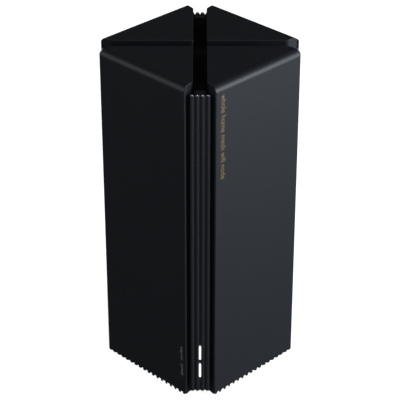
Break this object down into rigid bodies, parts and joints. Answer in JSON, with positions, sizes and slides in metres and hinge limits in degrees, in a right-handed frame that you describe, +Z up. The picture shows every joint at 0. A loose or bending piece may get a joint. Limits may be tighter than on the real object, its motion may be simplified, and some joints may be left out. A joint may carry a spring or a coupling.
{
  "type": "mesh wifi node",
  "caption": "Square upright wifi mesh node: dark covers split by a cross-shaped top groove, ribbed corner strips, status light bars, network and power sockets at the rear corner.",
  "frame": {"origin": "centre of the footprint, at the underside of the feet", "axes": "+Z up the tower; the front corner with the status lights points along -Y, the rear corner with the sockets along +Y"},
  "size_m": [0.1158, 0.1158, 0.21],
  "materials": {
    "cover": "fine-grained satin charcoal moulding",
    "corner_strip": "satin near-black moulding",
    "inner_plastic": "plain black moulding",
    "button": "satin charcoal",
    "rubber": "soft matt rubber",
    "label": "blank printed film",
    "circuit_board": "solder-masked laminate",
    "antenna_board": "black solder-masked laminate with copper",
    "light": "diffusing light guide, lit white",
    "flex": "amber film cable",
    "chip": "moulded epoxy",
    "can": "tinned sheet steel",
    "socket_plastic": "black glass-filled plastic",
    "contact": "gold-plated contact",
    "heat_sink": "extruded aluminium",
    "pad": "soft thermal pad",
    "screw": "zinc-plated steel",
    "lead": "thin coaxial lead jacket"
  },
  "bodies": {
    "root": {"antenna_connectors": "contact", "antenna_front_left": "antenna_board", "antenna_front_right": "antenna_board", "antenna_leads": "lead", "antenna_rear_left": "antenna_board", "antenna_rear_right": "antenna_board", "base_screws": "screw", "blank_label": "label", "board_screws": "screw", "bottom_cover": "inner_plastic", "button_board": "circuit_board", "capacitors": "can", "core_frame": "inner_plastic", "cover_screws": "screw", "front_corner_strip": "corner_strip", "front_left_cover": "cover", "front_right_cover": "cover", "heat_sink_left": "heat_sink", "heat_sink_right": "heat_sink", "heat_sink_screws": "screw", "heat_sink_spacers": "screw", "led_board": "circuit_board", "led_flex_cable": "flex", "left_corner_strip": "corner_strip", "light_guides": "light", "light_shield": "inner_plastic", "line_transformers": "chip", "main_board": "circuit_board", "memory_chips": "chip", "mesh_switch_body": "socket_plastic", "network_jack_contacts": "contact", "network_jack_insert_1": "socket_plastic", "network_jack_insert_2": "socket_plastic", "network_jack_insert_3": "socket_plastic", "network_jack_insert_4": "socket_plastic", "network_jack_shell_1": "can", "network_jack_shell_2": "can", "network_jack_shell_3": "can", "network_jack_shell_4": "can", "port_panel": "corner_strip", "power_coils": "chip", "power_jack_housing": "socket_plastic", "power_jack_leaf": "contact", "power_jack_pin": "contact", "processor_chip": "chip", "radio_chips": "chip", "radio_shields": "can", "rear_corner_strip": "corner_strip", "rear_left_cover": "cover", "rear_right_cover": "cover", "reset_switch_body": "socket_plastic", "right_corner_strip": "corner_strip", "rubber_feet": "rubber", "status_leds": "light", "switch_chip": "chip", "thermal_pads": "pad"},
    "mesh_button": {"mesh_button": "button"},
    "mesh_plunger": {"mesh_switch_plunger": "socket_plastic"},
    "reset_plunger": {"reset_switch_plunger": "socket_plastic"}
  },
  "joints": [
    {"name": "mesh_button_press", "type": "slide", "parent": "root", "child": "mesh_button", "axis": [0, -1, 0], "range_m": [0, 0.0004], "stiffness_N_per_m": 1500, "springref_m": -0.0003},
    {"name": "mesh_plunger_press", "type": "slide", "parent": "root", "child": "mesh_plunger", "axis": [0, -1, 0], "range_m": [0, 0.0004]},
    {"name": "reset_plunger_press", "type": "slide", "parent": "root", "child": "reset_plunger", "axis": [0, -1, 0], "range_m": [0, 0.0003], "stiffness_N_per_m": 1500, "springref_m": -0.0003}
  ],
  "couplings": [
    {"joint": "mesh_plunger_press", "follows": "mesh_button_press", "ratio": 1}
  ]
}
